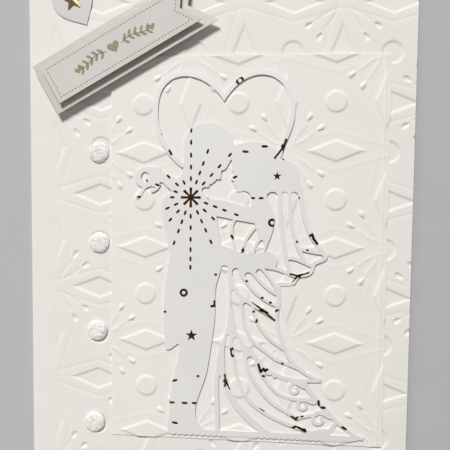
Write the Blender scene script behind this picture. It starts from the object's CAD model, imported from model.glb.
"""Finishes and fine relief of a layered wedding card: a folded base and a panel with a pressed
pattern, a pearl die-cut with foil marks, a two-layer banner, a heart tag with a star, and gems."""
from math import atan2, cos, hypot, pi, radians, sin
from random import Random

import bmesh
import bpy
import numpy as np
from bpy.props import FloatProperty, FloatVectorProperty, IntProperty, PointerProperty
from bpy.types import Operator, Panel, PropertyGroup
from mathutils import Matrix, Vector


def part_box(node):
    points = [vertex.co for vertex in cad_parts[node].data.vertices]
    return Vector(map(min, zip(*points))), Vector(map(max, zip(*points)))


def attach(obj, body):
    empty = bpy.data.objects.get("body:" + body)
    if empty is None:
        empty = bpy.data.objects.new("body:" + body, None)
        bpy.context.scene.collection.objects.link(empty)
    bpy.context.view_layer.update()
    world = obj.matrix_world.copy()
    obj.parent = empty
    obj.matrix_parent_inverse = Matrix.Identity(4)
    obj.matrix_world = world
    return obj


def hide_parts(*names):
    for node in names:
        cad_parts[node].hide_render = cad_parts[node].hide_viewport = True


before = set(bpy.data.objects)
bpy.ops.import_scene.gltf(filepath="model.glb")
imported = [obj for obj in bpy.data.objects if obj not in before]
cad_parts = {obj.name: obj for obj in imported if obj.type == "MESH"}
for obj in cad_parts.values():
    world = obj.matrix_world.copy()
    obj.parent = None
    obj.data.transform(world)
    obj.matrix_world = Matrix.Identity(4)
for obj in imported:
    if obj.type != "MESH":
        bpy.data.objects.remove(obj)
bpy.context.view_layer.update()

bl_info = {
    "name": "Layered Greeting Card",
    "version": (1, 0, 0),
    "blender": (4, 5, 0),
    "location": "3D View > Sidebar > Greeting Card",
    "description": "Builds the finishes of a layered greeting card around its packed model",
    "category": "Object",
}

MM = 0.001
SMOOTH_ANGLE = radians(35)

# Lamps of the stage: size, offset from the point they shine at, and tint
KEY_LAMP = {"size": 0.68, "offset": (-0.45, 2.25, 2.1), "tint": (1.0, 0.99, 0.975)}
FILL_LAMP = {"size": 0.25, "offset": (-0.22, -0.16, 0.3), "tint": (1.0, 0.985, 0.96)}
SKY_TINT = (1.0, 0.975, 0.93, 1)


def length(name, description, default):
    """Length property in metres."""
    return FloatProperty(
        name=name, description=description, default=default, unit="LENGTH", precision=5,
    )


def turn(name, description, degrees):
    """Angle property, its default given in degrees."""
    return FloatProperty(
        name=name, description=description, default=radians(degrees), unit="ROTATION",
    )


def share(name, description, default):
    """Plain number property."""
    return FloatProperty(name=name, description=description, default=default)


def colour(name, description, default):
    """Linear RGB colour property."""
    return FloatVectorProperty(
        name=name, description=description, default=default, size=3, subtype="COLOR", min=0, max=1,
    )


class CardSizes(PropertyGroup):
    """Sizes of the sheets and of the pattern pressed into them."""

    card_stock: length("Card stock", "Thickness of the folded sheet", 0.4 * MM)
    fold_inner_radius: length("Fold radius", "Inside radius of the fold", 0.35 * MM)
    leaf_angle: turn("Leaf angle", "How far the front leaf springs open", 0.8)
    grid_step: length("Grid step", "Spacing of the points on the plain parts of a sheet", 0.9 * MM)
    relief_height: length("Relief height", "How far the motifs stand out of the panel", 0.3 * MM)
    relief_depth: length("Relief depth", "How far the motifs are pressed into the base", 0.3 * MM)
    relief_pitch: length("Pattern pitch", "Distance between neighbouring discs", 31.5 * MM)
    disc_radius: length("Disc radius", "Radius of a disc at its foot", 3.85 * MM)
    diamond_length: length("Diamond length", "Half the length of a diamond", 10.3 * MM)
    diamond_width: length("Diamond width", "Half the width of a diamond", 3.95 * MM)
    slope_width: length("Slope width", "Width of the slope at the edge of a motif", 1.0 * MM)
    frame_width: length(
        "Frame width", "Half the width of the raised line round a diamond", 6.3 * MM,
    )
    frame_length: length(
        "Frame length", "Half the length of the raised line round a diamond", 21 * MM,
    )
    pip_radius: length("Pip circle", "Radius of the circle of pips round a sunburst", 13.1 * MM)
    panel_turn: turn("Panel pattern turn", "How far the pattern of the panel is askew", 0.7)
    base_turn: turn("Base pattern turn", "How far the pattern of the base is askew", -0.8)
    base_plain_strip: length("Plain strip", "Strip beside the fold with no pattern", 8.5 * MM)
    gem_facets: IntProperty(name="Gem facets", description="Subdivision of a gem's dome", default=4)
    flake_count: IntProperty(name="Flakes", description="Glitter flakes on each gem", default=150)


class CardColours(PropertyGroup):
    """Colours of the finishes."""

    base: colour("Base card", "White card of the folded base", (0.84, 0.822, 0.79))
    panel: colour("Panel card", "Ivory card of the embossed panel", (0.86, 0.84, 0.80))
    pearl: colour("Pearl card", "Pearl card of the figure", (0.86, 0.85, 0.84))
    banner: colour("Banner card", "Printed card of the front banner", (0.66, 0.635, 0.61))
    glitter: colour("Glitter card", "Pearly card of the back banner", (0.67, 0.635, 0.58))
    ink: colour("Ink", "Muted gold-olive ink of the banner", (0.30, 0.27, 0.16))
    foil: colour("Foil", "Bronze foil of the printed marks", (0.10, 0.045, 0.02))
    star: colour("Star", "Gold of the star", (0.75, 0.61, 0.36))
    tag: colour("Tag card", "Pearl card of the heart tag", (0.66, 0.64, 0.64))
    gem: colour("Gem glitter", "White glitter of the gems", (0.94, 0.915, 0.87))
    foam: colour("Foam", "White foam of the pads", (0.86, 0.85, 0.82))
    floor: colour("Floor", "Plain floor", (0.5, 0.5, 0.51))


class CardStage(PropertyGroup):
    """Camera and lights, placed from the middle of the front leaf."""

    lens: FloatProperty(name="Lens", description="Focal length", default=41.6, unit="CAMERA")
    camera_place: FloatVectorProperty(
        name="Camera place", description="Place of the camera above the front leaf",
        default=(17.3 * MM, 1.3 * MM, 171.4 * MM), subtype="TRANSLATION", unit="LENGTH",
    )
    camera_aim: FloatVectorProperty(
        name="Camera aim", description="Point of the front leaf in the middle of the view",
        default=(3.05 * MM, -8.2 * MM, 0), subtype="TRANSLATION", unit="LENGTH",
    )
    camera_roll: turn("Camera roll", "Lean of the camera's top to the left", 0.56)
    key_power: FloatProperty(
        name="Key light", description="Power of the main light", default=102, unit="POWER",
    )
    fill_power: FloatProperty(
        name="Fill light", description="Power of the soft light", default=0.2, unit="POWER",
    )
    sky: share("Sky", "Strength of the even light from all round", 0.13)


# ---- Places read from the frame ----
def front_leaf():
    """Matrix of the front leaf: its origin in the middle of the outer face, +Z out of it."""
    sizes = bpy.context.scene.card_sizes
    low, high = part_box("card_base")
    fold_radius = sizes.fold_inner_radius + sizes.card_stock
    middle_distance = (high.x - low.x) / 2 - fold_radius
    angle = sizes.leaf_angle
    place = Vector((
        low.x + fold_radius - sin(angle) * fold_radius + cos(angle) * middle_distance,
        0,
        fold_radius + cos(angle) * fold_radius + sin(angle) * middle_distance,
    ))
    return Matrix.Translation(place) @ Matrix.Rotation(-angle, 4, "Y")


def node_points(node, place):
    """Corners of a CAD node as rows of x, y, z in the frame of the matrix."""
    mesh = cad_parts[node].data
    points = np.empty(len(mesh.vertices) * 3)
    mesh.vertices.foreach_get("co", points)
    back = np.array(place.inverted())
    return points.reshape(-1, 3) @ back[:3, :3].T + back[:3, 3]


def node_limits(node, place):
    """Lowest and highest corner of a CAD node in the frame of the matrix."""
    points = node_points(node, place)
    return Vector(points.min(axis=0)), Vector(points.max(axis=0))


def banner_place(node, leaf):
    """Matrix of a banner: its origin at the lower left corner of the top face, +X along it."""
    points = node_points(node, leaf)
    top = points[points[:, 2] > points[:, 2].max() - 0.1 * MM]
    lower = top[top[:, 1].argmin()]
    upper = top[top[:, 0].argmin()]
    angle = atan2(upper[1] - lower[1], upper[0] - lower[0]) - pi / 2
    return leaf @ Matrix.Translation(Vector(lower)) @ Matrix.Rotation(angle, 4, "Z")


# ---- Materials ----
def shader_material(name, tint, roughness, **sockets):
    """New material with a Principled shader; returns it, its node tree and the shader."""
    material = bpy.data.materials.new(name)
    material.use_nodes = True
    tree = material.node_tree
    shader = tree.nodes["Principled BSDF"]
    shader.inputs["Base Color"].default_value = (*tint, 1)
    shader.inputs["Roughness"].default_value = roughness
    for socket, value in sockets.items():
        shader.inputs[socket.replace("_", " ")].default_value = value
    return material, tree, shader


def add_node(tree, kind, **settings):
    """New node; names that are inputs of the node set that input, others its own settings."""
    node = tree.nodes.new(kind)
    for name, value in settings.items():
        socket = node.inputs.get(name.replace("_", " ").title())
        if socket is None:
            setattr(node, name, value)
        else:
            socket.default_value = value
    return node


def wire(tree, source, output, target, socket):
    """Joins an output of one node to an input of another."""
    tree.links.new(source.outputs[output], target.inputs[socket])


def noise(tree, scale, detail=2.0):
    """Noise over the object's own coordinates."""
    place = add_node(tree, "ShaderNodeTexCoord")
    pattern = add_node(tree, "ShaderNodeTexNoise", scale=scale, detail=detail)
    wire(tree, place, "Object", pattern, "Vector")
    return pattern


def tint_by(tree, shader, source, output, stops):
    """Colours the shader by a node's output from 0 to 1, through stops of (position, colour)."""
    ramp = add_node(tree, "ShaderNodeValToRGB")
    elements = ramp.color_ramp.elements
    for position, _ in stops[1:-1]:
        elements.new(position)
    for element, (position, tint) in zip(elements, stops):
        element.position = position
        element.color = (*tint, 1)
    wire(tree, source, output, ramp, "Fac")
    wire(tree, ramp, "Color", shader, "Base Color")


def mottle(tree, shader, tint, spread, scale):
    """Soft patches a little lighter and darker than the tint."""
    darker = [part * (1 - spread) for part in tint]
    lighter = [min(part * (1 + spread), 1) for part in tint]
    patches = noise(tree, scale)
    tint_by(tree, shader, patches, "Fac", [(0.3, darker), (0.7, lighter)])


def fibres(tree, shader, scale, height, strength):
    """Fine tooth of a paper surface."""
    tooth = noise(tree, scale, detail=4)
    bump = add_node(tree, "ShaderNodeBump", strength=strength, distance=height)
    wire(tree, tooth, "Fac", bump, "Height")
    wire(tree, bump, "Normal", shader, "Normal")


def card_finish(name, tint, roughness=0.85, tooth=0.25, **sockets):
    """Matt card with a fine tooth and a hint of unevenness in its colour."""
    material, tree, shader = shader_material(name, tint, roughness, **sockets)
    mottle(tree, shader, tint, spread=0.012, scale=90)
    fibres(tree, shader, scale=3200, height=0.03 * MM, strength=tooth)
    return material


PASTELS = (
    (0.0, (0.86, 1.0, 0.93)), (0.25, (1.0, 1.0, 1.0)), (0.5, (1.0, 0.88, 0.93)),
    (0.75, (0.90, 0.90, 1.0)), (1.0, (1.0, 0.97, 0.88)),
)


def glitter_finish(name, tint, grain, roughness, sparkle, spread, **sockets):
    """Crushed glitter: each grain leans its own way and has its own pastel tint."""
    material, tree, shader = shader_material(name, tint, roughness, **sockets)
    place = add_node(tree, "ShaderNodeTexCoord")
    cells = add_node(tree, "ShaderNodeTexVoronoi", scale=1 / grain)
    wire(tree, place, "Object", cells, "Vector")
    stops = [
        (position, [part * (1 - spread + spread * hue) for part, hue in zip(tint, pastel)])
        for position, pastel in PASTELS
    ]
    grains = add_node(tree, "ShaderNodeSeparateColor")
    wire(tree, cells, "Color", grains, "Color")
    tint_by(tree, shader, grains, "Red", stops)
    lean = add_node(tree, "ShaderNodeVectorMath", operation="SUBTRACT")
    lean.inputs[1].default_value = (0.5, 0.5, 0.5)
    amount = add_node(tree, "ShaderNodeVectorMath", operation="SCALE")
    amount.inputs["Scale"].default_value = sparkle
    surface = add_node(tree, "ShaderNodeNewGeometry")
    total = add_node(tree, "ShaderNodeVectorMath", operation="ADD")
    unit = add_node(tree, "ShaderNodeVectorMath", operation="NORMALIZE")
    wire(tree, cells, "Color", lean, 0)
    wire(tree, lean, "Vector", amount, 0)
    wire(tree, amount, "Vector", total, 0)
    wire(tree, surface, "Normal", total, 1)
    wire(tree, total, "Vector", unit, 0)
    wire(tree, unit, "Vector", shader, "Normal")
    return material


def foil_finish(name, tint, glint, roughness):
    """Metal foil with brighter patches where it isn't quite flat."""
    material, tree, shader = shader_material(name, tint, roughness, Metallic=1.0)
    brighter = [min(part * glint, 1) for part in tint]
    patches = noise(tree, 900, detail=1)
    tint_by(tree, shader, patches, "Fac", [(0.5, tint), (0.72, brighter)])
    return material


def foam_finish(name, tint):
    """Closed-cell foam: small round cells over the cut sides."""
    material, tree, shader = shader_material(name, tint, roughness=0.8)
    place = add_node(tree, "ShaderNodeTexCoord")
    cells = add_node(tree, "ShaderNodeTexVoronoi", scale=3500.0)
    bump = add_node(tree, "ShaderNodeBump", strength=0.6, distance=0.08 * MM)
    wire(tree, place, "Object", cells, "Vector")
    wire(tree, cells, "Distance", bump, "Height")
    wire(tree, bump, "Normal", shader, "Normal")
    mottle(tree, shader, tint, spread=0.05, scale=1500)
    return material


def finish(kind):
    """Material of that kind, made the first time it is asked for."""
    colours = bpy.context.scene.card_colours
    made = bpy.data.materials.get(kind)
    if made:
        return made
    makers = {
        "base_card": lambda: card_finish(kind, colours.base),
        "panel_card": lambda: card_finish(kind, colours.panel),
        "figure_card": lambda: card_finish(
            kind, colours.pearl, roughness=0.45, tooth=0.12, Metallic=0.12, Coat_Weight=0.15,
        ),
        "tag_card": lambda: card_finish(
            kind, colours.tag, roughness=0.45, tooth=0.12, Metallic=0.1, Coat_Weight=0.15,
        ),
        "banner_card": lambda: card_finish(kind, colours.banner, roughness=0.7, tooth=0.2),
        "shimmer_card": lambda: glitter_finish(
            kind, colours.glitter, grain=0.4 * MM, roughness=0.45, sparkle=0.07, spread=0.4,
            Metallic=0.1,
        ),
        "gem_glitter": lambda: glitter_finish(
            kind, colours.gem, grain=0.38 * MM, roughness=0.4, sparkle=0.5, spread=0.9,
            Coat_Weight=0.1,
        ),
        "banner_ink": lambda: card_finish(kind, colours.ink, roughness=0.5, tooth=0.1),
        "bronze_foil": lambda: foil_finish(kind, colours.foil, glint=4, roughness=0.3),
        "star_gold": lambda: foil_finish(kind, colours.star, glint=1.3, roughness=0.25),
        "pad_foam": lambda: foam_finish(kind, colours.foam),
    }
    return makers[kind]()


# ---- Making pieces ----
def add_piece(mesh_parts, name, materials, stands_for=(), smooth_angle=None):
    """Object of a finished bmesh, riding on the card; it may stand for CAD nodes."""
    mesh = bpy.data.meshes.new(name)
    mesh_parts.to_mesh(mesh)
    mesh_parts.free()
    for material in materials:
        mesh.materials.append(material)
    if smooth_angle is not None:
        mesh.shade_smooth()
        mesh.set_sharp_from_angle(angle=smooth_angle)
    piece = bpy.data.objects.new(name, mesh)
    bpy.context.collection.objects.link(piece)
    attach(piece, "root")
    if stands_for:
        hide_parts(*stands_for)
    return piece


def dress(node, material):
    """Gives a CAD node's object this material."""
    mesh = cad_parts[node].data
    mesh.materials.clear()
    mesh.materials.append(material)


def rectangle_grid(low, high, step):
    """Flat bmesh of even squares between two corners."""
    sheet = bmesh.new()
    width, height = high[0] - low[0], high[1] - low[1]
    middle = Vector(((low[0] + high[0]) / 2, (low[1] + high[1]) / 2, 0))
    bmesh.ops.create_grid(
        sheet,
        x_segments=round(width / step),
        y_segments=round(height / step),
        size=1,
        matrix=Matrix.Translation(middle) @ Matrix.Diagonal((width / 2, height / 2, 1, 1)),
    )
    return sheet


def set_heights(sheet, heights_at):
    """Lifts each point of a flat bmesh to the height that the function gives for x and y."""
    points = np.array([vert.co[:2] for vert in sheet.verts])
    for vert, height in zip(sheet.verts, heights_at(points[:, 0], points[:, 1])):
        vert.co.z = height


def open_edges(parts):
    """Edges at the rim of a bmesh or of a hole in it."""
    return [edge for edge in parts.edges if edge.is_boundary]


def close_up(parts):
    """Fills every hole of a bmesh with a face."""
    bmesh.ops.holes_fill(parts, edges=open_edges(parts), sides=0)


def edges_at(sheet, axis, value):
    """Boundary edges that lie at this value along the axis."""
    return [
        edge for edge in open_edges(sheet)
        if all(abs(vert.co[axis] - value) < 0.01 * MM for vert in edge.verts)
    ]


def only(kind, geometry):
    """Elements of one kind out of an operator's result."""
    return [item for item in geometry if isinstance(item, kind)]


def draw_out(sheet, edges, move):
    """Extrudes edges by a vector and returns the new edges."""
    geometry = bmesh.ops.extrude_edge_only(sheet, edges=edges)["geom"]
    bmesh.ops.translate(sheet, verts=only(bmesh.types.BMVert, geometry), vec=move)
    new = set(only(bmesh.types.BMVert, geometry))
    return [edge for edge in only(bmesh.types.BMEdge, geometry) if set(edge.verts) <= new]


# ---- Pressed pattern ----
RING_REACH = 1.45  # of the disc's radius
RING_WIDTH = 0.4 * MM
FRAME_LINE_WIDTH = 0.45 * MM
RING_SHARE = 0.5  # of the strength of the frame lines
PIP_LEAN = radians(11)
PIP_HALF_LENGTH = 1.65 * MM
PIP_HALF_WIDTH = 0.85 * MM
PIP_TAPER = 0.25
PIP_LEAST_WIDTH = 0.2 * MM
PIP_HEIGHT = 1.35
RAY_HALF_WIDTH = 0.25 * MM
RAY_SPREAD = 0.07
RAY_EDGE = 0.7 * MM
RAY_START, RAY_START_RAMP = 3 * MM, 2 * MM
RAY_END, RAY_END_RAMP = 11.3 * MM, 1.5 * MM
RAY_HEIGHT = 0.3
SUBDIVIDED_LENGTH = 0.7  # of the spacing of the points
STEEP = 0.035 * MM


def rise(distance, width):
    """Smooth step from 0 to 1 as the distance grows from 0 to the width."""
    part = np.clip(distance / width, 0, 1)
    return part * part * (3 - 2 * part)


def crease(distance, width):
    """Narrow rounded ridge along the line where the distance is 0."""
    return np.exp(-(distance / width) ** 2)


def pattern(x, y, start, angle, sunburst_parity, frame_strength, sizes):
    """Relief of the pressed pattern at points of the front leaf, 1 on the discs and diamonds."""
    pitch = sizes.relief_pitch
    right, up = x - start[0], y - start[1]
    along = (right * cos(angle) + up * sin(angle)) / pitch
    down = (right * sin(angle) - up * cos(angle)) / pitch

    def nearest(shift_along, shift_down):
        """Offsets from the nearest point of the lattice, moved by these shares of the pitch."""
        from_along, from_down = along - shift_along, down - shift_down
        off_along = (from_along - np.round(from_along)) * pitch
        return off_along, (from_down - np.round(from_down)) * pitch

    def inside_diamond(a, b, half_length, half_width):
        """Distance inside the edge of a diamond, less than 0 outside."""
        level = 1 - np.abs(a) / half_length - np.abs(b) / half_width
        return level / hypot(1 / half_length, 1 / half_width)

    slope = sizes.slope_width
    from_disc = np.hypot(*nearest(0, 0))
    total = rise(sizes.disc_radius - from_disc, slope)
    from_ring = from_disc - RING_REACH * sizes.disc_radius
    total = total + RING_SHARE * frame_strength * crease(from_ring, RING_WIDTH)
    lying = nearest(0, 0.5)
    standing = nearest(0.5, 0)[::-1]
    for a, b in (lying, standing):
        diamond = rise(inside_diamond(a, b, sizes.diamond_length, sizes.diamond_width), slope)
        from_frame = inside_diamond(a, b, sizes.frame_length, sizes.frame_width)
        total = total + diamond + frame_strength * crease(from_frame, FRAME_LINE_WIDTH)
    a, b = nearest(0.5, 0.5)
    here = np.mod(np.round(along - 0.5) + np.round(down - 0.5), 2) == sunburst_parity
    reach = np.hypot(a, b)
    quarter = np.mod(np.arctan2(b, a), pi / 2) - pi / 4
    from_pip = np.abs(quarter) - PIP_LEAN
    out = reach * np.cos(from_pip) - sizes.pip_radius
    across = reach * np.sin(from_pip)
    pip_width = np.maximum(PIP_HALF_WIDTH + PIP_TAPER * out, PIP_LEAST_WIDTH)
    pip = 1 - (out / PIP_HALF_LENGTH) ** 2 - (across / pip_width) ** 2
    ray_width = RAY_HALF_WIDTH + RAY_SPREAD * reach
    ray = rise(ray_width - np.abs(across), RAY_EDGE) * rise(reach - RAY_START, RAY_START_RAMP)
    ray = ray * rise(RAY_END - reach, RAY_END_RAMP)
    return total + np.where(here, PIP_HEIGHT * rise(pip, 1.0) + RAY_HEIGHT * ray, 0)


def relief_sheet(low, high, step, heights_at):
    """Bmesh of a sheet in relief: even squares, cut finer twice where its height changes."""
    sheet = rectangle_grid(low, high, step)
    for span in (step, step / 2):
        set_heights(sheet, heights_at)
        steep = [
            edge for edge in sheet.edges
            if edge.calc_length() > SUBDIVIDED_LENGTH * span and face_relief(edge) > STEEP
        ]
        bmesh.ops.subdivide_edges(sheet, edges=steep, cuts=1, use_grid_fill=True)
        bmesh.ops.triangulate(sheet, faces=[face for face in sheet.faces if len(face.verts) > 4])
    set_heights(sheet, heights_at)
    return sheet


def face_relief(edge):
    """Difference between the highest and the lowest point of the faces beside an edge."""
    heights = [vert.co.z for face in edge.link_faces for vert in face.verts]
    return max(heights) - min(heights)


class CARD_OT_folded_base(Operator):
    """Folded sheet with the pattern pressed into its front leaf"""

    bl_idname = "greeting_card.folded_base"
    bl_label = "Folded base"

    gem_shift: FloatVectorProperty(
        name="Gem shift", description="Place of the first gem from the disc that it is glued over",
        default=(-0.6 * MM, -1.7 * MM), size=2, unit="LENGTH",
    )

    def execute(self, context):
        sizes = context.scene.card_sizes
        leaf = front_leaf()
        low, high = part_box("card_base")
        fold_radius = sizes.fold_inner_radius + sizes.card_stock
        half_width, half_height = (high.x - low.x) / 2, (high.y - low.y) / 2
        fold_line = fold_radius - half_width
        panel_low, panel_high = node_limits("embossed_panel", leaf)
        cover = 0.6 * MM  # how far the pattern runs on under the panel
        frame_strength, deepest = 0.22, 1.2
        fade_lead, fade_width = 3 * MM, 7 * MM
        gem_low, gem_high = node_limits("glitter_gem_1", leaf)
        start = (gem_low + gem_high) / 2 - Vector((*self.gem_shift, 0))

        def under_panel(x, y, margin):
            """Whether a point lies under the panel, this far inside its edges."""
            return (
                (x > panel_low.x + margin) & (x < panel_high.x - margin)
                & (y > panel_low.y + margin) & (y < panel_high.y - margin)
            )

        def heights(x, y):
            pressed = pattern(x, y, start, sizes.base_turn, 0, frame_strength, sizes)
            pressed = np.minimum(pressed, deepest)
            fade = rise(x - low.x - sizes.base_plain_strip + fade_lead, fade_width)
            depth = sizes.relief_depth * pressed * fade
            return np.where(under_panel(x, y, cover), 0, -depth)

        corners = (fold_line, -half_height), (half_width, half_height)
        sheet = relief_sheet(*corners, sizes.grid_step, heights)
        hidden = [
            face for face in sheet.faces
            if all(under_panel(vert.co.x, vert.co.y, 2 * cover) for vert in face.verts)
        ]
        outer_edges = set(open_edges(sheet))
        bmesh.ops.delete(sheet, geom=hidden, context="FACES")
        rim = [edge for edge in open_edges(sheet) if edge not in outer_edges]
        bmesh.ops.holes_fill(sheet, edges=rim, sides=0)
        at_fold, at_free_edge = edges_at(sheet, 0, fold_line), edges_at(sheet, 0, half_width)
        sheet.transform(leaf)
        fold_middle = Vector((low.x + fold_radius, 0, fold_radius))
        sweep = pi - sizes.leaf_angle

        def roll(edges, axis):
            geometry = bmesh.ops.spin(
                sheet, geom=edges, cent=fold_middle, axis=axis, angle=sweep, steps=8,
                use_duplicate=False,
            )["geom_last"]
            return only(bmesh.types.BMEdge, geometry)

        back_run = Vector((high.x - fold_middle.x, 0, 0))
        edges = roll(at_fold, (0, -1, 0))
        edges = draw_out(sheet, edges, back_run)
        edges = draw_out(sheet, edges, Vector((0, 0, sizes.card_stock)))
        edges = draw_out(sheet, edges, -back_run)
        edges = roll(edges, (0, 1, 0))
        edges = draw_out(sheet, edges, leaf.to_3x3() @ back_run)
        bmesh.ops.bridge_loops(sheet, edges=edges + at_free_edge)
        close_up(sheet)
        bmesh.ops.recalc_face_normals(sheet, faces=sheet.faces)
        material = finish("base_card")
        add_piece(sheet, "folded_card", [material], ["card_base"], SMOOTH_ANGLE)
        return {"FINISHED"}


class CARD_OT_embossed_panel(Operator):
    """Panel with the pattern standing out of it"""

    bl_idname = "greeting_card.embossed_panel"
    bl_label = "Embossed panel"

    first_disc: FloatVectorProperty(
        name="First disc", description="Place of a disc from the panel's top left corner",
        default=(10.8 * MM, -15.6 * MM), size=2, unit="LENGTH",
    )
    stock: length("Panel stock", "Thickness of the panel", 0.3 * MM)
    border: length("Border", "Distance of a pressed line inside the right edge", 1.7 * MM)

    def execute(self, context):
        sizes = context.scene.card_sizes
        leaf = front_leaf()
        low, high = node_limits("embossed_panel", leaf)
        start = (low.x + self.first_disc[0], high.y + self.first_disc[1])
        frame_strength = 0.15
        line_strength, line_width = 0.4, 0.35 * MM

        def heights(x, y):
            raised = pattern(x, y, start, sizes.panel_turn, 1, frame_strength, sizes)
            line = line_strength * crease(high.x - self.border - x, line_width)
            return self.stock + sizes.relief_height * (raised + line)

        sheet = relief_sheet(low, high, sizes.grid_step, heights)
        walls = bmesh.ops.extrude_edge_only(sheet, edges=open_edges(sheet))
        for vert in only(bmesh.types.BMVert, walls["geom"]):
            vert.co.z = 0
        close_up(sheet)
        bmesh.ops.recalc_face_normals(sheet, faces=sheet.faces)
        sheet.transform(leaf)
        material = finish("panel_card")
        stands_for = ["embossed_panel"]
        add_piece(sheet, "pressed_panel", [material], stands_for, SMOOTH_ANGLE)
        return {"FINISHED"}


# ---- Flat printed shapes ----
def prism(shapes, outline, place, thickness):
    """Closed plate with this outline of (x, y) points, placed by a matrix."""
    verts = [shapes.verts.new(place @ Vector((x, y, 0))) for x, y in outline]
    face = shapes.faces.new(verts)
    up = (place.to_3x3() @ Vector((0, 0, 1))).normalized()
    lifted = bmesh.ops.extrude_face_region(shapes, geom=[face])["geom"]
    bmesh.ops.translate(shapes, verts=only(bmesh.types.BMVert, lifted), vec=up * thickness)


def oval(half_length, half_width, corners=10, power=0.75):
    """Outline of a dash with full, rounded ends."""
    points = []
    for corner in range(corners):
        angle = 2 * pi * corner / corners
        across, along = sin(angle), cos(angle)
        points.append((
            half_length * abs(along) ** power * (1 if along > 0 else -1),
            half_width * abs(across) ** power * (1 if across > 0 else -1),
        ))
    return points


def star_outline(radius, waist, tips=5, start=pi / 2):
    """Outline of a star whose tips are at the radius and whose waists are at a share of it."""
    points = []
    for step in range(2 * tips):
        reach = radius if step % 2 == 0 else radius * waist
        angle = start + pi * step / tips
        points.append((reach * cos(angle), reach * sin(angle)))
    return points


def burst_outline(reaches, half_width, start=0.0):
    """Outline of arms that spread from one point, each as long as its reach."""
    points = []
    count = len(reaches)
    tip = 0.7 * half_width
    root = 1.35 * half_width
    for arm, reach in enumerate(reaches):
        angle = start + 2 * pi * arm / count
        for side in (-1, 1):
            points.append((
                reach * cos(angle) - side * tip * sin(angle),
                reach * sin(angle) + side * tip * cos(angle),
            ))
        between = angle + pi / count
        points.append((root * cos(between), root * sin(between)))
    return points


def ring(shapes, place, radius, hole, thickness, corners=20):
    """Flat ring, made by revolving its section about the middle of the place."""
    section = [shapes.verts.new(place @ Vector((reach, 0, height))) for reach, height in (
        (hole, 0), (radius, 0), (radius, thickness), (hole, thickness),
    )]
    edges = [shapes.edges.new((section[n], section[(n + 1) % 4])) for n in range(4)]
    bmesh.ops.spin(
        shapes, geom=edges, cent=place.translation, axis=place.to_3x3() @ Vector((0, 0, 1)),
        angle=2 * pi, steps=corners, use_merge=True,
    )


def stroke(shapes, plane, first, last, half_width, thickness):
    """Straight bar between two places of a plane, all of it but the thickness in millimetres."""
    angle = atan2(last[1] - first[1], last[0] - first[0])
    half = hypot(last[0] - first[0], last[1] - first[1]) / 2 + 0.6 * half_width
    middle = ((first[0] + last[0]) / 2, (first[1] + last[1]) / 2)
    corners = ((-half, -half_width), (half, -half_width), (half, half_width), (-half, half_width))
    outline = [(x * MM, y * MM) for x, y in corners]
    prism(shapes, outline, at(plane, *middle, angle), thickness)


def at(plane, x, y, angle=0.0):
    """Matrix of a place on a plane, given in millimetres."""
    return plane @ Matrix.Translation(Vector((x * MM, y * MM, 0))) @ Matrix.Rotation(angle, 4, "Z")


# Foil marks: places and sizes in millimetres from the middle of the front leaf
FIREWORK = (-8.3, 0.8)
RAYS_UP = (6.2, 10, 13.9, 18.1, 22)
RAYS_STRAIGHT = (6.2, 10, 13.9, 17.3, 20.4, 23.2)
RAYS_SLANTED = (6.3, 10.1, 14, 19)
RAYS_BETWEEN = (5.4, 8.6, 11.9, 16.1)
STARS = ((20, 8, 1.5), (-7.8, -45.4, 2.1), (9.2, -16.5, 1.3))
RINGS = ((18.6, -7.2), (7.5, 38.8), (-10.5, -31))
DOTS = (
    (27, 1), (26.9, -13.3), (30.2, -15.9), (0.2, -24.7), (10.5, -26.6), (15.7, -32.1),
    (18.4, -33.6), (-16.8, -37.6), (-5.5, -59.2), (22.6, -53.9), (-17.8, 21.6),
)
DASHES = (
    (15.8, 17.6, 0), (-15.2, 15.6, 120), (5.6, -12.1, -50), (-13.5, -61, 15), (-14.4, -68.6, 0),
    (-10, -68.6, 0), (-6.5, -68.5, 0), (-13.3, -75.6, -10), (43.2, -74.8, -30), (16.9, -58.3, 0),
    (20.2, -36.3, 25), (14.1, -39.6, 60), (16.2, -69.6, -40), (9.6, 15.9, -5),
)
BURSTS = (
    ((22, 17.6), ((19.1, 13.8), (24.7, 21.8), (21.9, 13.4), (22.7, 19.9))),
    ((27.4, -24.4), ((24.7, -24), (26.2, -23.3), (30.7, -23.3), (25.4, -26.3))),
    ((15.8, -36.2), ((12.4, -33.4), (12.7, -36.8), (19.9, -39.5), (17.6, -37))),
    ((3.9, -60.6), ((3.5, -58.3), (3.6, -62.3), (5.4, -63.2), (4.9, -60.1))),
)
BROKEN_LINES = (
    ((34.7, -66), (34.9, -68.2), (36.8, -68.2)),
    ((14.7, -54.4), (15.5, -57), (16.4, -55.9), (17, -56.6), (18.6, -55.1)),
    ((6.3, -49.3), (5.5, -49.7), (5.5, -51.3), (6.3, -52)),
    ((-0.1, -33.5), (-0.1, -35.2), (-1.2, -35.3)),
    ((30.9, -11.3), (31.7, -10.8), (32.1, -12.3), (33.3, -13.9)),
    ((25.9, -71.7), (27.4, -72.5), (28.2, -71.3), (28.9, -70.8), (29.5, -71.5)),
    ((25.9, -75.8), (27.6, -74.8), (30.6, -76.6), (30, -74.7)),
)


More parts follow.
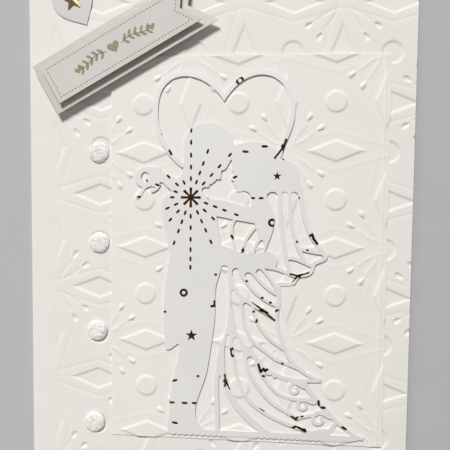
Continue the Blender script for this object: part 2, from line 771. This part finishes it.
class CARD_OT_couple(Operator):
    """Pearl finish of the die-cut couple and the bronze foil marks printed on it"""

    bl_idname = "greeting_card.couple"
    bl_label = "Die-cut couple"

    foil_thickness: length("Foil thickness", "How far the foil stands off the card", 0.015 * MM)

    def execute(self, context):
        leaf = front_leaf()
        dress("couple_die_cut", finish("figure_card"))
        top = node_limits("couple_die_cut", leaf)[1].z
        below = 0.1 * MM  # how deep the foil reaches into the card
        plane = leaf @ Matrix.Translation((0, 0, top - below))
        marks = bmesh.new()
        self.firework(marks, plane, below * 2)
        self.scattered(marks, plane, below * 2)
        bmesh.ops.recalc_face_normals(marks, faces=marks.faces)
        self.trim(marks)
        material = finish("bronze_foil")
        add_piece(marks, "foil_marks", [material])
        return {"FINISHED"}

    def firework(self, marks, plane, depth):
        """Eight-armed star with sixteen rays of dashes."""
        prism(marks, burst_outline([3.3 * MM] * 8, 0.68 * MM), at(plane, *FIREWORK), depth)
        for ray in range(16):
            angle = radians(22.5 * ray + (2.5 if ray % 4 else 0))
            reaches = (
                RAYS_UP if ray == 4 else RAYS_STRAIGHT if ray % 4 == 0
                else RAYS_SLANTED if ray % 2 == 0 else RAYS_BETWEEN
            )
            for reach in reaches:
                x, y = FIREWORK[0] + reach * cos(angle), FIREWORK[1] + reach * sin(angle)
                prism(marks, oval(0.85 * MM, 0.38 * MM), at(plane, x, y, angle), depth)

    def scattered(self, marks, plane, depth):
        """Small stars, rings, dots, dashes and pieces of other fireworks."""
        dot, dash = oval(0.5 * MM, 0.42 * MM), oval(1.1 * MM, 0.42 * MM)
        heart_of_burst, burst_arm, broken_line = oval(0.95 * MM, 0.7 * MM), 0.33, 0.42
        for x, y, radius in STARS:
            prism(marks, star_outline(radius * MM, 0.4), at(plane, x, y), depth)
        for x, y in RINGS:
            ring(marks, at(plane, x, y), 1.4 * MM, 0.6 * MM, depth)
        for x, y in DOTS:
            prism(marks, dot, at(plane, x, y), depth)
        for x, y, degrees in DASHES:
            prism(marks, dash, at(plane, x, y, radians(degrees)), depth)
        for middle, tips in BURSTS:
            for tip in tips:
                stroke(marks, plane, middle, tip, burst_arm, depth)
            prism(marks, heart_of_burst, at(plane, *middle, radians(-25)), depth)
        for corners in BROKEN_LINES:
            for first, last in zip(corners, corners[1:]):
                stroke(marks, plane, first, last, broken_line, depth)

    def trim(self, marks):
        """Keeps only what lies on the card, standing off it by the thickness of the foil."""
        card = bmesh.new()
        card.from_mesh(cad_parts["couple_die_cut"].data)
        bmesh.ops.remove_doubles(card, verts=card.verts, dist=0.001 * MM)
        up = front_leaf().to_3x3() @ Vector((0, 0, self.foil_thickness))
        bmesh.ops.translate(card, verts=card.verts, vec=up)
        objects = []
        for name, parts in (("marks", marks), ("card", card)):
            mesh = bpy.data.meshes.new(name)
            parts.to_mesh(mesh)
            made = bpy.data.objects.new(name, mesh)
            bpy.context.collection.objects.link(made)
            objects.append(made)
        card.free()
        cut = objects[0].modifiers.new("trim", "BOOLEAN")
        cut.operation = "INTERSECT"
        cut.solver = "EXACT"
        cut.use_self = True
        cut.object = objects[1]
        trimmed = objects[0].evaluated_get(bpy.context.evaluated_depsgraph_get()).to_mesh()
        marks.clear()
        marks.from_mesh(trimmed)
        objects[0].to_mesh_clear()
        for made in objects:
            bpy.data.objects.remove(made)


class CARD_OT_banner(Operator):
    """Pearly card behind, printed card in front, with a stitched border and a sprig of hearts"""

    bl_idname = "greeting_card.banner"
    bl_label = "Banner"

    ink_thickness: length("Ink thickness", "How far the ink stands off the card", 0.012 * MM)
    border_inset: length("Border inset", "Distance of the stitched border from the edge", 1.5 * MM)
    stitch_pitch: length("Stitch pitch", "Distance between neighbouring stitches", 1.1 * MM)

    def execute(self, context):
        leaf = front_leaf()
        dress("banner_back", finish("shimmer_card"))
        dress("banner_front", finish("banner_card"))
        plane = banner_place("banner_front", leaf)
        points = node_points("banner_front", plane)
        length_x, height = points[:, 0].max(), points[:, 1].max()
        middle_line = points[np.abs(points[:, 1] - height / 2) < 0.2 * MM]
        notch = length_x - middle_line[:, 0].max()
        ink = bmesh.new()
        self.border(ink, plane, length_x, height, notch)
        self.sprig(ink, plane @ Matrix.Translation(((length_x - notch) * 0.5, height / 2, 0)))
        bmesh.ops.recalc_face_normals(ink, faces=ink.faces)
        add_piece(ink, "banner_print", [finish("banner_ink")])
        return {"FINISHED"}

    def border(self, ink, plane, length_x, height, notch):
        """Stitches along a line inside the edge of the banner."""
        inset = self.border_inset
        stitch = oval(0.37 * MM, 0.2 * MM, 6)
        slant = hypot(notch, height / 2)
        tail = length_x - inset * slant / (height / 2) - inset * notch / (height / 2)
        dent = length_x - notch - inset * slant / (height / 2)
        corners = [
            (inset, inset), (tail, inset), (dent, height / 2),
            (tail, height - inset), (inset, height - inset),
        ]
        for first, last in zip(corners, corners[1:] + corners[:1]):
            run = hypot(last[0] - first[0], last[1] - first[1])
            angle = atan2(last[1] - first[1], last[0] - first[0])
            count = round(run / self.stitch_pitch)
            for number in range(count):
                part = number / count
                x, y = (first[axis] + part * (last[axis] - first[axis]) for axis in (0, 1))
                prism(ink, stitch, at(plane, x / MM, y / MM, angle), self.ink_thickness)

    def sprig(self, ink, plane):
        """Heart between two branches with leaves in pairs, each ending in a small heart."""
        leaf_outline = oval(1.2 * MM, 0.46 * MM, 10, 1.0)
        leaf_reach, leaf_lean = 1.15, radians(50)
        prism(ink, self.heart_outline(2.1 * MM), at(plane, 0, -0.1), self.ink_thickness)
        for side in (-1, 1):
            branch = [(side * (2.9 + step), 0.7 * sin(0.5 * step)) for step in range(11)]
            for first, last in zip(branch, branch[1:]):
                stroke(ink, plane, first, last, 0.17, self.ink_thickness)
            for x, y in branch[1:10:2]:
                for lean in (-1, 1):
                    angle = (0 if side > 0 else pi) + side * lean * leaf_lean
                    middle = (x + leaf_reach * cos(angle), y + leaf_reach * sin(angle))
                    prism(ink, leaf_outline, at(plane, *middle, angle), self.ink_thickness)
            x, y = branch[-1]
            prism(ink, self.heart_outline(1.2 * MM), at(plane, x + side, y), self.ink_thickness)

    def heart_outline(self, size):
        """Outline of a small heart of this half width."""
        points = []
        for step in range(28):
            angle = 2 * pi * step / 28
            x = 16 * sin(angle) ** 3
            y = 13 * cos(angle) - 5 * cos(2 * angle) - 2 * cos(3 * angle) - cos(4 * angle)
            points.append((-x / 16 * size, (y + 2.5) / 16 * size))
        return points


class CARD_OT_foam_pads(Operator):
    """Foam pads that hold up the two layers of the banner"""

    bl_idname = "greeting_card.foam_pads"
    bl_label = "Foam pads"

    bulge: length("Bulge", "How far the sides of a pad stand out under load", 0.18 * MM)

    def execute(self, context):
        leaf = front_leaf()
        banner = banner_place("banner_front", leaf)
        pads = [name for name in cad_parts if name.startswith("pad_")]
        for name in sorted(pads):
            pad = bmesh.new()
            pad.from_mesh(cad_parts[name].data)
            bmesh.ops.remove_doubles(pad, verts=pad.verts, dist=0.001 * MM)
            bmesh.ops.dissolve_limit(pad, angle_limit=radians(2), verts=pad.verts, edges=pad.edges)
            pad.transform(banner.inverted())
            middle = sum((vert.co for vert in pad.verts), Vector()) / len(pad.verts)
            half_height = max(vert.co.z for vert in pad.verts) - middle.z
            bmesh.ops.subdivide_edges(pad, edges=pad.edges, cuts=9, use_grid_fill=True)
            rest = {vert: vert.co.copy() for vert in pad.verts}
            side = max(abs(co.x - middle.x) for co in rest.values())
            for vert, co in rest.items():
                level = (co.z - middle.z) / half_height
                swell = 1 + self.bulge / side * (1 - level * level)
                vert.co.x = middle.x + (co.x - middle.x) * swell
                vert.co.y = middle.y + (co.y - middle.y) * swell
            pad.transform(banner)
            bmesh.ops.recalc_face_normals(pad, faces=pad.faces)
            material = finish("pad_foam")
            piece = add_piece(pad, f"foam_{name}", [material], [name], radians(40))
        return {"FINISHED"}


class CARD_OT_tag(Operator):
    """Pearl finish of the heart tag, and its ridged gold star"""

    bl_idname = "greeting_card.tag"
    bl_label = "Heart tag and star"

    ridge: length("Star ridge", "How far the middle of the star stands above its rim", 0.35 * MM)

    def execute(self, context):
        leaf = front_leaf()
        dress("heart_tag", finish("tag_card"))
        points = node_points("gold_star", leaf)
        low, high = points[:, 2].min(), points[:, 2].max()
        rim = points[points[:, 2] > high - 0.01 * MM]
        middle = rim.mean(axis=0)
        offsets = np.hypot(rim[:, 0] - middle[0], rim[:, 1] - middle[1])
        tip = rim[offsets.argmax()] - middle
        star = bmesh.new()
        outline = star_outline(offsets.max(), 0.45, start=atan2(tip[1], tip[0]))
        place = leaf @ Matrix.Translation((middle[0], middle[1], low))
        prism(star, outline, place, high - low - self.ridge)
        star.normal_update()
        up = place.to_3x3() @ Vector((0, 0, 1))
        top = max(star.faces, key=lambda face: face.calc_center_median().z)
        raised = bmesh.ops.poke(star, faces=[top])["verts"]
        bmesh.ops.translate(star, verts=raised, vec=up * self.ridge)
        bmesh.ops.recalc_face_normals(star, faces=star.faces)
        add_piece(star, "ridged_star", [finish("star_gold")], ["gold_star"])
        return {"FINISHED"}


class CARD_OT_gems(Operator):
    """Domed gems with a crust of glitter"""

    bl_idname = "greeting_card.gems"
    bl_label = "Glitter gems"

    roughness: length("Crust", "Unevenness of the crust", 0.05 * MM)

    def execute(self, context):
        sizes = context.scene.card_sizes
        leaf = front_leaf()
        material = finish("gem_glitter")
        gems = sorted(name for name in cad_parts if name.startswith("glitter_gem"))
        for number, name in enumerate(gems):
            chance = Random(31 + number)
            low, high = node_limits(name, leaf)
            middle = (low + high) / 2
            radius = (high.x - low.x) / 2 - self.roughness
            tall = high.z - low.z - self.roughness
            gem = bmesh.new()
            bmesh.ops.create_icosphere(gem, subdivisions=sizes.gem_facets, radius=1)
            bmesh.ops.bisect_plane(
                gem, geom=gem.verts[:] + gem.edges[:] + gem.faces[:], plane_co=(0, 0, 0),
                plane_no=(0, 0, 1), clear_inner=True,
            )
            close_up(gem)
            foot = {vert for vert in gem.verts if vert.co.z < 0.001}
            for vert in gem.verts:
                if vert not in foot:
                    vert.co.z = self.dome(hypot(vert.co.x, vert.co.y))
            bmesh.ops.scale(gem, vec=(radius, radius, tall), verts=gem.verts)
            for vert in gem.verts:
                if vert not in foot:
                    vert.co += Vector([chance.uniform(-1, 1) for _ in range(3)]) * self.roughness
            for _ in range(sizes.flake_count):
                self.flake(gem, chance, radius, tall)
            bmesh.ops.translate(gem, verts=gem.verts, vec=(middle.x, middle.y, low.z))
            gem.transform(leaf)
            add_piece(gem, f"crusted_{name}", [material], [name])
        return {"FINISHED"}

    def dome(self, share_out):
        """Share of the gem's height at a share of its radius: nearly flat, and round at the rim."""
        return (1 - min(share_out, 1) ** 4) ** 0.5

    def flake(self, gem, chance, radius, tall):
        """Hexagon of glitter that leans its own way on the dome."""
        reach = radius * 0.97 * chance.random() ** 0.5
        around = chance.uniform(0, 2 * pi)
        share_out = reach / radius
        steepness = 2 * tall / radius * share_out ** 3
        slope = Vector((cos(around) * steepness, sin(around) * steepness, 1.0)).normalized()
        lean = Vector([chance.uniform(-0.3, 0.3) for _ in range(3)])
        facing = (slope + lean).normalized()
        turned = Vector((0, 0, 1)).rotation_difference(facing).to_matrix().to_4x4()
        spot = (reach * cos(around), reach * sin(around), tall * self.dome(share_out))
        bmesh.ops.create_circle(
            gem, cap_ends=True, segments=6, radius=chance.uniform(0.14, 0.3) * MM,
            matrix=Matrix.Translation(spot) @ turned,
        )


class CARD_OT_stage(Operator):
    """Floor, lights and camera"""

    bl_idname = "greeting_card.stage"
    bl_label = "Stage"

    def execute(self, context):
        stage = context.scene.card_stage
        leaf = front_leaf()
        floor = bmesh.new()
        bmesh.ops.create_grid(floor, x_segments=1, y_segments=1, size=1.5)
        mesh = bpy.data.meshes.new("floor")
        floor.to_mesh(mesh)
        floor.free()
        tint = context.scene.card_colours.floor
        mesh.materials.append(card_finish("floor_paint", tint, roughness=0.9, tooth=0.05))
        ground = bpy.data.objects.new("floor", mesh)
        context.collection.objects.link(ground)
        aim = leaf @ Vector(stage.camera_aim)
        self.lamp(context, "key", stage.key_power, aim, **KEY_LAMP)
        self.lamp(context, "fill", stage.fill_power, aim, **FILL_LAMP)
        self.sky(context, stage.sky)
        lens = bpy.data.cameras.new("camera")
        lens.lens = stage.lens
        lens.clip_start = 0.005
        camera = bpy.data.objects.new("camera", lens)
        context.collection.objects.link(camera)
        place = leaf @ Vector(stage.camera_place)
        up = leaf.to_3x3() @ Vector((-sin(stage.camera_roll), cos(stage.camera_roll), 0))
        back = (place - aim).normalized()
        right = up.cross(back).normalized()
        true_up = back.cross(right)
        facing = Matrix((right, true_up, back)).transposed().to_4x4()
        camera.matrix_world = Matrix.Translation(place) @ facing
        context.scene.camera = camera
        context.scene.view_settings.view_transform = "Standard"
        return {"FINISHED"}

    def lamp(self, context, name, power, aim, size, offset, tint):
        """Square light at an offset from the point it shines at."""
        light = bpy.data.lights.new(name, "AREA")
        light.energy = power
        light.size = size
        light.color = tint
        lamp = bpy.data.objects.new(name, light)
        lamp.location = aim + Vector(offset)
        lamp.rotation_euler = Vector(offset).to_track_quat("Z", "Y").to_euler()
        context.collection.objects.link(lamp)

    def sky(self, context, strength):
        """Even pale light from all round."""
        world = bpy.data.worlds.new("studio")
        world.use_nodes = True
        background = world.node_tree.nodes["Background"]
        background.inputs["Color"].default_value = SKY_TINT
        background.inputs["Strength"].default_value = strength
        context.scene.world = world


STEPS = (
    CARD_OT_folded_base, CARD_OT_embossed_panel, CARD_OT_couple, CARD_OT_banner, CARD_OT_foam_pads,
    CARD_OT_tag, CARD_OT_gems, CARD_OT_stage,
)


class CARD_PT_sidebar(Panel):
    """Steps and settings of the card"""

    bl_label = "Greeting Card"
    bl_space_type = "VIEW_3D"
    bl_region_type = "UI"
    bl_category = "Greeting Card"

    def draw(self, context):
        for step in STEPS:
            self.layout.operator(step.bl_idname)
        scene = context.scene
        for group in (scene.card_sizes, scene.card_colours, scene.card_stage):
            box = self.layout.box()
            for name in type(group).__annotations__:
                box.prop(group, name)


CLASSES = (CardSizes, CardColours, CardStage, *STEPS, CARD_PT_sidebar)


def register():
    for each in CLASSES:
        bpy.utils.register_class(each)
    bpy.types.Scene.card_sizes = PointerProperty(type=CardSizes)
    bpy.types.Scene.card_colours = PointerProperty(type=CardColours)
    bpy.types.Scene.card_stage = PointerProperty(type=CardStage)


def unregister():
    del bpy.types.Scene.card_stage
    del bpy.types.Scene.card_colours
    del bpy.types.Scene.card_sizes
    for each in reversed(CLASSES):
        bpy.utils.unregister_class(each)


def main():
    """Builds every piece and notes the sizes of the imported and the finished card."""
    register()
    bpy.ops.greeting_card.folded_base()
    bpy.ops.greeting_card.embossed_panel()
    bpy.ops.greeting_card.couple()
    bpy.ops.greeting_card.banner()
    bpy.ops.greeting_card.foam_pads()
    bpy.ops.greeting_card.tag()
    bpy.ops.greeting_card.gems()
    bpy.ops.greeting_card.stage()


if __name__ == "__main__":
    main()
